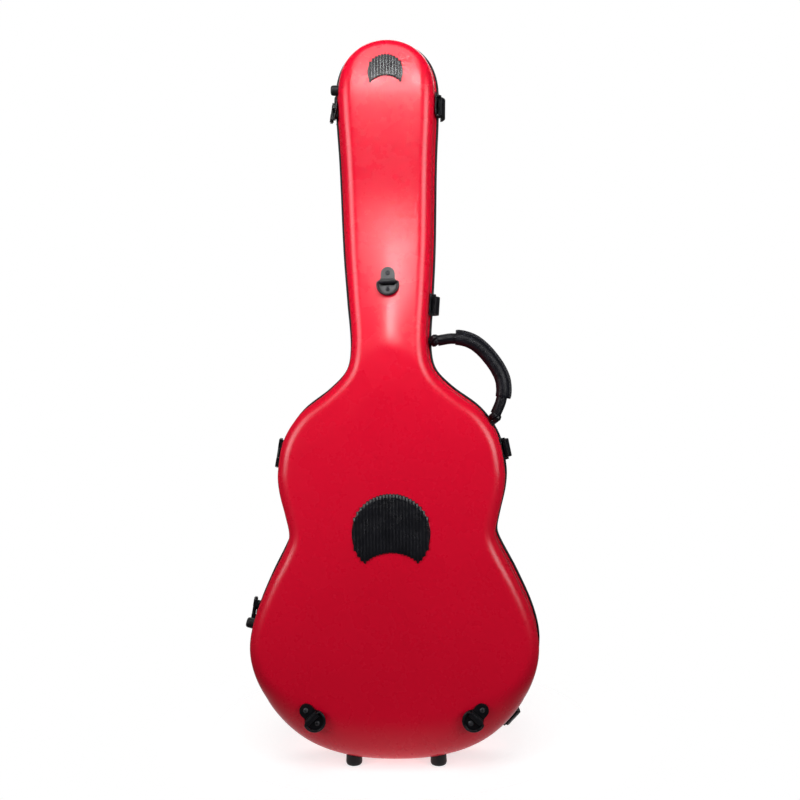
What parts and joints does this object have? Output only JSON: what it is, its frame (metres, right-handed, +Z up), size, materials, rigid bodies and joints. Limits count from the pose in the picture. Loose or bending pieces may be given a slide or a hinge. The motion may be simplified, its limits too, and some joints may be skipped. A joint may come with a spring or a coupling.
{
  "type": "hard-shell guitar case",
  "caption": "Upright hard-shell classical guitar case with hinged lid, draw latches, leather handle, strap rings, ribbed wear pads and feet.",
  "frame": {"origin": "centre of the bounding box at the floor, under the bottom feet", "axes": "+Z up the case's length as it stands; -Y out of the back (base) shell; +Y out of the lid; hinges on the -X side, latches and handle on the +X side"},
  "size_m": [0.4344, 0.172, 1.0735],
  "materials": {
    "shell": "satin moulded plastic",
    "seal": "matt edge band",
    "plush": "short plush over foam",
    "rubber": "matt rubber",
    "leather": "grained, stitched",
    "steel": "brushed",
    "black_metal": "black lacquer"
  },
  "bodies": {
    "base": {"accessory_box": "plush", "base_foot_left": "rubber", "base_foot_right": "rubber", "base_lining": "plush", "base_rim": "seal", "base_shell": "shell", "base_side_foot_lower": "rubber", "base_side_foot_upper": "rubber", "handle_anchor_1": "black_metal", "handle_anchor_2": "black_metal", "hinge_1_base_leaf": "black_metal", "hinge_1_pin": "steel", "hinge_2_base_leaf": "black_metal", "hinge_2_pin": "steel", "hinge_3_base_leaf": "black_metal", "hinge_3_pin": "steel", "latch_1_plate": "black_metal", "latch_2_plate": "black_metal", "latch_3_plate": "black_metal", "latch_4_plate": "black_metal", "neck_cradle": "plush", "strap_left_plate": "black_metal", "strap_left_screw_1": "steel", "strap_left_screw_2": "steel", "strap_neck_plate": "black_metal", "strap_neck_screw_1": "steel", "strap_neck_screw_2": "steel", "strap_right_plate": "black_metal", "strap_right_screw_1": "steel", "strap_right_screw_2": "steel", "wear_pad_body": "rubber", "wear_pad_head": "rubber"},
    "lid": {"hinge_1_lid_leaf": "black_metal", "hinge_2_lid_leaf": "black_metal", "hinge_3_lid_leaf": "black_metal", "latch_1_catch": "steel", "latch_2_catch": "steel", "latch_3_catch": "steel", "latch_4_catch": "steel", "lid_foot_left": "rubber", "lid_foot_right": "rubber", "lid_lining": "plush", "lid_rim": "seal", "lid_shell": "shell", "lid_side_foot_lower": "rubber", "lid_side_foot_upper": "rubber"},
    "handle": {"handle_core": "leather", "handle_grip": "leather"},
    "accessory_lid": {"accessory_lid": "plush"},
    "latch_1": {"latch_1_lever": "black_metal", "latch_1_claw": "steel"},
    "latch_2": {"latch_2_lever": "black_metal", "latch_2_claw": "steel"},
    "latch_3": {"latch_3_lever": "black_metal", "latch_3_claw": "steel"},
    "latch_4": {"latch_4_lever": "black_metal", "latch_4_claw": "steel"},
    "ring_neck": {"strap_neck_ring": "black_metal"},
    "ring_left": {"strap_left_ring": "black_metal"},
    "ring_right": {"strap_right_ring": "black_metal"}
  },
  "joints": [
    {"name": "lid_hinge", "type": "hinge", "parent": "base", "child": "lid", "pos_m": [-0.1724, 0.008, 0.457], "axis": [0.1729, 0, 0.9849], "range_deg": [0, 110]},
    {"name": "latch_1_pivot", "type": "hinge", "parent": "base", "child": "latch_1", "pos_m": [0.07852, -0.008, 0.96939], "axis": [-0.0242, 0, -0.9997], "range_deg": [0, 105]},
    {"name": "latch_2_pivot", "type": "hinge", "parent": "base", "child": "latch_2", "pos_m": [0.0653, -0.008, 0.67427], "axis": [-0.0772, 0, -0.997], "range_deg": [0, 105]},
    {"name": "latch_3_pivot", "type": "hinge", "parent": "base", "child": "latch_3", "pos_m": [0.16752, -0.008, 0.45983], "axis": [0.1874, 0, -0.9823], "range_deg": [0, 105]},
    {"name": "latch_4_pivot", "type": "hinge", "parent": "base", "child": "latch_4", "pos_m": [0.16995, -0.008, 0.06232], "axis": [-0.6871, 0, -0.7266], "range_deg": [0, 105]},
    {"name": "strap_ring_neck_pivot", "type": "hinge", "parent": "base", "child": "ring_neck", "pos_m": [0, -0.06169, 0.70417], "axis": [-1, 0, 0], "range_deg": [0, 110]},
    {"name": "strap_ring_left_pivot", "type": "hinge", "parent": "base", "child": "ring_left", "pos_m": [-0.11565, -0.08299, 0.08572], "axis": [-0.743, 0.0141, -0.6691], "range_deg": [0, 110]},
    {"name": "strap_ring_right_pivot", "type": "hinge", "parent": "base", "child": "ring_right", "pos_m": [0.11565, -0.08299, 0.08572], "axis": [-0.743, -0.0141, 0.6691], "range_deg": [0, 110]},
    {"name": "handle_pivot", "type": "hinge", "parent": "base", "child": "handle", "pos_m": [0.0646, -0.01, 0.6232], "axis": [0.6054, 0, -0.7959], "range_deg": [-70, 50]},
    {"name": "accessory_lid_hinge", "type": "hinge", "parent": "base", "child": "accessory_lid", "pos_m": [-0.0315, -0.01, 0.688], "axis": [0, 0, 1], "range_deg": [0, 40]}
  ]
}
